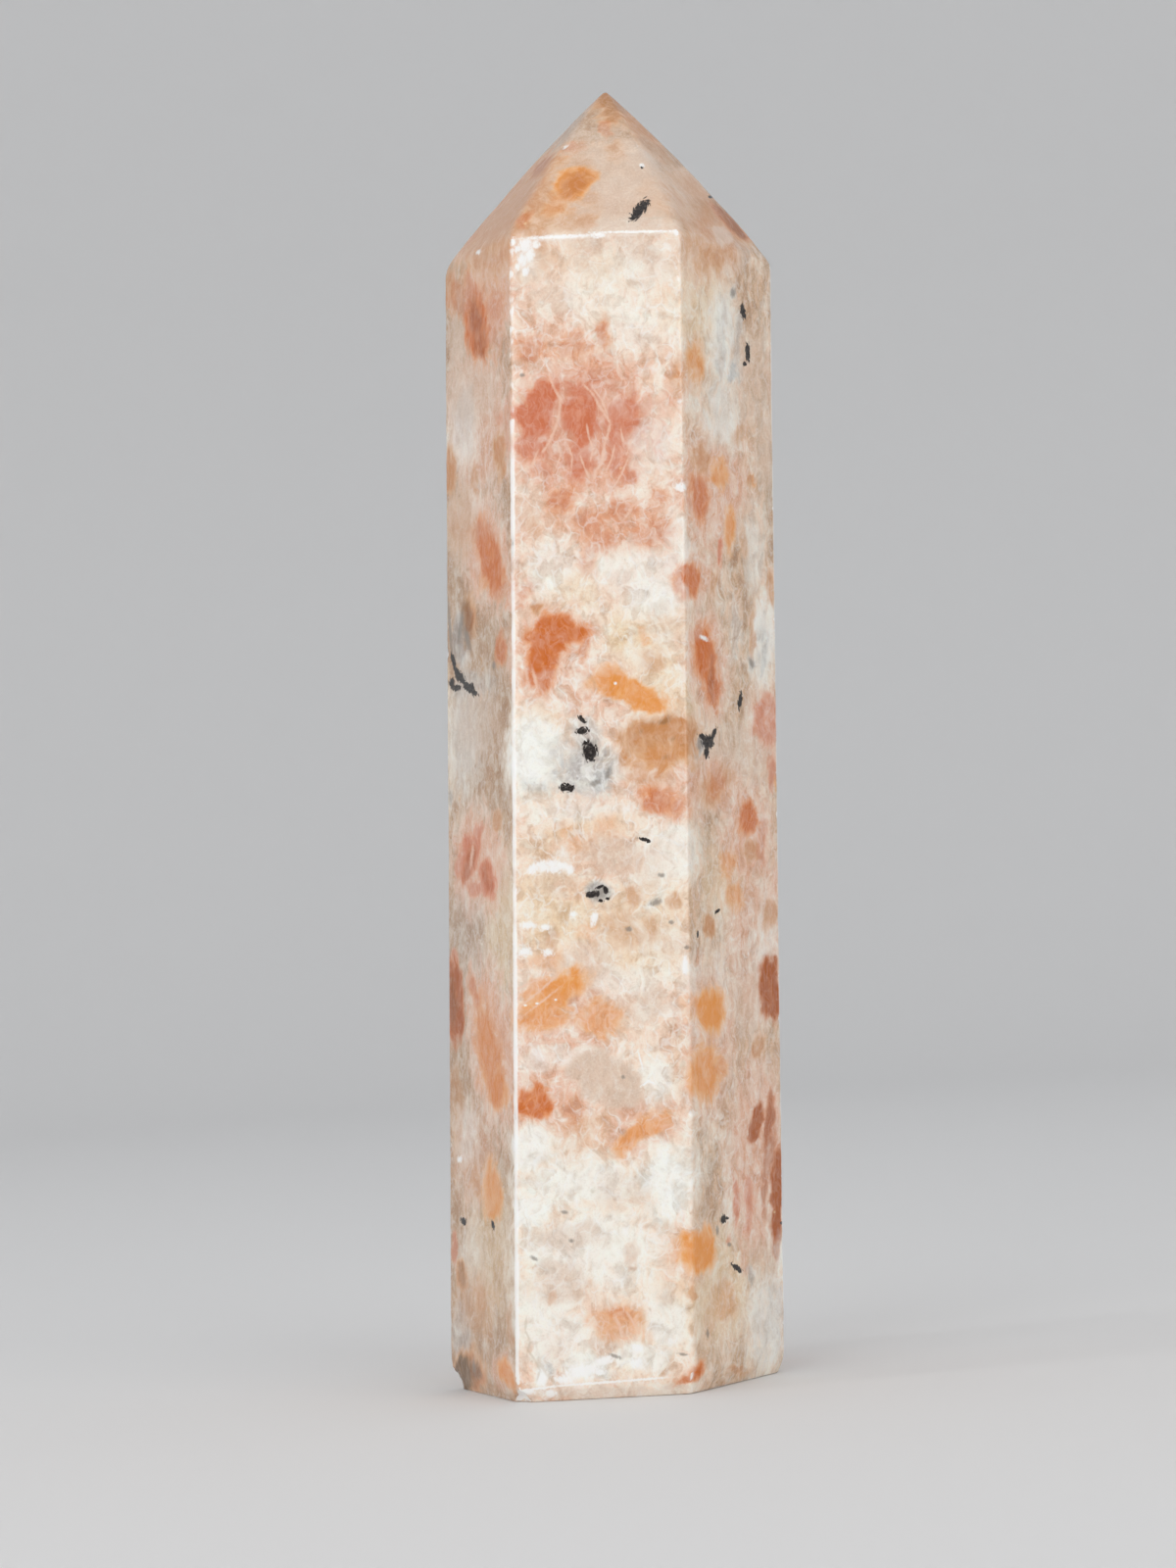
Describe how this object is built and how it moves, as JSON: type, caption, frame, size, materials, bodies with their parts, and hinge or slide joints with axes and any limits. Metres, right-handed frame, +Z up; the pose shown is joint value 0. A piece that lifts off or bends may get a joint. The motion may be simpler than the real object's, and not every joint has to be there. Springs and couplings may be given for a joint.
{
  "type": "sunstone tower",
  "caption": "Polished six-sided column of peach and orange feldspar, cut to a faceted point, that stands on its flat base and leans a little.",
  "frame": {"origin": "middle of the flat base, where the column's axis meets it", "axes": "+Z up along the tower, which leans 3 degrees towards +X and 1.4 degrees towards -Y; the widest polished face looks along -Y"},
  "size_m": [0.0298, 0.0244, 0.0991],
  "materials": {
    "sunstone": "polished"
  },
  "bodies": {
    "root": {"sunstone_tower": "sunstone"}
  },
  "joints": []
}
